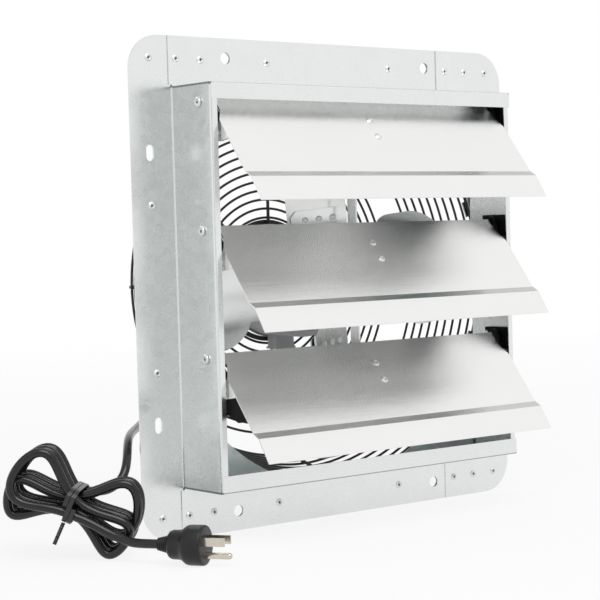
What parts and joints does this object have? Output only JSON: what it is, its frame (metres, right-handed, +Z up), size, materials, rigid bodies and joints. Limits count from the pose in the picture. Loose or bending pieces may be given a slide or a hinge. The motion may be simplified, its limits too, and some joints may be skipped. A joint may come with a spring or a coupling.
{
  "type": "shutter exhaust fan",
  "caption": "Wall exhaust fan with a square galvanised flange, linked aluminium louvers, a wire guard with motor and fan wheel, and a tied power cord with plug.",
  "frame": {"origin": "centre of the wall screw holes, on the rear face of the plate with the round opening", "axes": "-Y is the way the air blows, out of the louvers; +Z is up; +X is to the right seen from the louvers"},
  "size_m": [0.514, 0.2865, 0.4],
  "materials": {
    "galvanised": "galvanised, satin",
    "orifice": "galvanised, satin",
    "rivets": "satin",
    "bright_steel": "zinc plated",
    "guard_wire": "satin black",
    "motor_paint": "satin",
    "lamination": "dull",
    "copper": "varnished",
    "aluminium": "bright, lightly brushed",
    "black_plastic": "matte",
    "cord_jacket": "soft satin vinyl",
    "plug_metal": "nickel over brass"
  },
  "bodies": {
    "frame": {"frame_left": "galvanised", "frame_right": "galvanised", "frame_top": "galvanised", "frame_bottom": "galvanised", "orifice_plate": "orifice", "frame_rivets": "rivets", "guard_clips": "bright_steel", "guard_rim": "guard_wire", "guard_side_rings": "guard_wire", "guard_face_rings": "guard_wire", "guard_spokes": "guard_wire", "motor_mount_plate": "bright_steel", "motor_mount_screws": "bright_steel", "motor_shell": "motor_paint", "motor_rear_cap": "motor_paint", "motor_stator": "lamination", "motor_windings": "copper", "terminal_box": "motor_paint", "motor_bearings": "bright_steel", "left_bearings": "black_plastic", "right_bearings": "black_plastic", "cord_gland": "black_plastic", "cord_lead": "cord_jacket", "cord_hank": "cord_jacket", "cord_tie": "black_plastic", "cord_tail": "cord_jacket", "plug_body": "cord_jacket", "plug_blades": "plug_metal", "plug_ground_pin": "plug_metal"},
    "fan_wheel": {"motor_shaft": "bright_steel", "rotor_core": "lamination", "wheel_hub": "bright_steel", "wheel_spider": "aluminium", "hub_set_screw": "bright_steel", "blade_1": "aluminium", "blade_2": "aluminium", "blade_3": "aluminium", "blade_4": "aluminium", "blade_rivets": "rivets"},
    "top_louver": {"louver_1": "aluminium", "louver_1_arms": "black_plastic", "louver_1_link_bracket": "galvanised", "louver_1_rivets": "rivets", "louver_1_link_pin": "bright_steel"},
    "middle_louver": {"louver_2": "aluminium", "louver_2_arms": "black_plastic", "louver_2_link_bracket": "galvanised", "louver_2_rivets": "rivets", "louver_2_link_pin": "bright_steel"},
    "bottom_louver": {"louver_3": "aluminium", "louver_3_arms": "black_plastic", "louver_3_link_bracket": "galvanised", "louver_3_rivets": "rivets", "louver_3_link_pin": "bright_steel"},
    "tie_bar": {"tie_bar": "galvanised"}
  },
  "joints": [
    {"name": "fan_spin", "type": "hinge", "parent": "frame", "child": "fan_wheel", "pos_m": [0, 0.03, 0], "axis": [0, 1, 0], "continuous": true},
    {"name": "top_louver_hinge", "type": "hinge", "parent": "frame", "child": "top_louver", "pos_m": [0, -0.0384, 0.145], "axis": [-1, 0, 0], "range_deg": [-31, 35]},
    {"name": "middle_louver_hinge", "type": "hinge", "parent": "frame", "child": "middle_louver", "pos_m": [0, -0.0384, 0.045], "axis": [-1, 0, 0], "range_deg": [-31, 35]},
    {"name": "bottom_louver_hinge", "type": "hinge", "parent": "frame", "child": "bottom_louver", "pos_m": [0, -0.0384, -0.055], "axis": [-1, 0, 0], "range_deg": [-31, 35]},
    {"name": "tie_bar_pivot", "type": "hinge", "parent": "top_louver", "child": "tie_bar", "pos_m": [0, -0.01835, 0.14074], "axis": [-1, 0, 0], "range_deg": [-35, 31]}
  ],
  "couplings": [
    {"joint": "middle_louver_hinge", "follows": "top_louver_hinge", "ratio": 1},
    {"joint": "bottom_louver_hinge", "follows": "top_louver_hinge", "ratio": 1},
    {"joint": "tie_bar_pivot", "follows": "top_louver_hinge", "ratio": -1}
  ]
}
